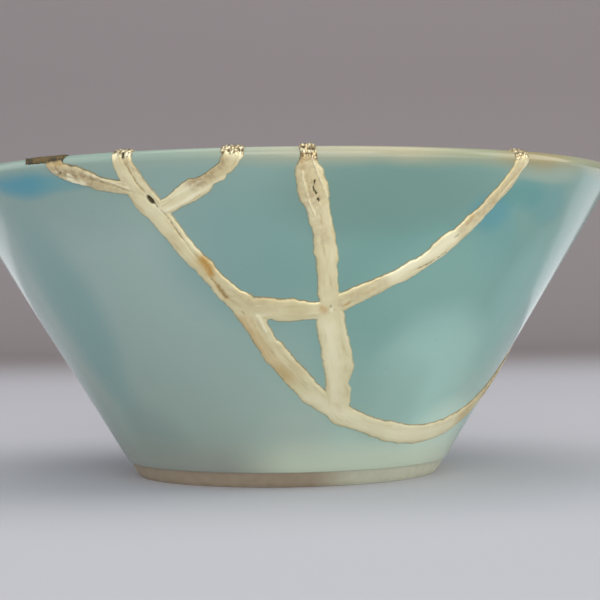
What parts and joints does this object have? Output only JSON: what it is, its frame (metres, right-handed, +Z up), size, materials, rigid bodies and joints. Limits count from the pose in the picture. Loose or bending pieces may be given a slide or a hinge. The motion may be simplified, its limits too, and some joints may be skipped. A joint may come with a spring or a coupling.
{
  "type": "kintsugi bowl",
  "caption": "Small flared celadon bowl with straight slanting walls, broken and joined again with raised gold lacquer seams that run over the lip and down inside.",
  "frame": {"origin": "on the bowl's axis, in the plane of the foot's underside", "axes": "+Z up along the bowl's axis; -Y towards the side with the fork of gold seams; +X to the right when that side is faced"},
  "size_m": [0.1478, 0.1484, 0.068],
  "materials": {
    "celadon": "gloss",
    "gold_lacquer": "satin"
  },
  "bodies": {
    "root": {"main_sherd": "celadon", "left_rim_sherd": "celadon", "middle_rim_sherd": "celadon", "front_sherd": "celadon", "right_rim_sherd": "celadon", "right_side_sherd": "celadon", "lower_wedge_sherd": "celadon", "gold_seams": "gold_lacquer"}
  },
  "joints": []
}
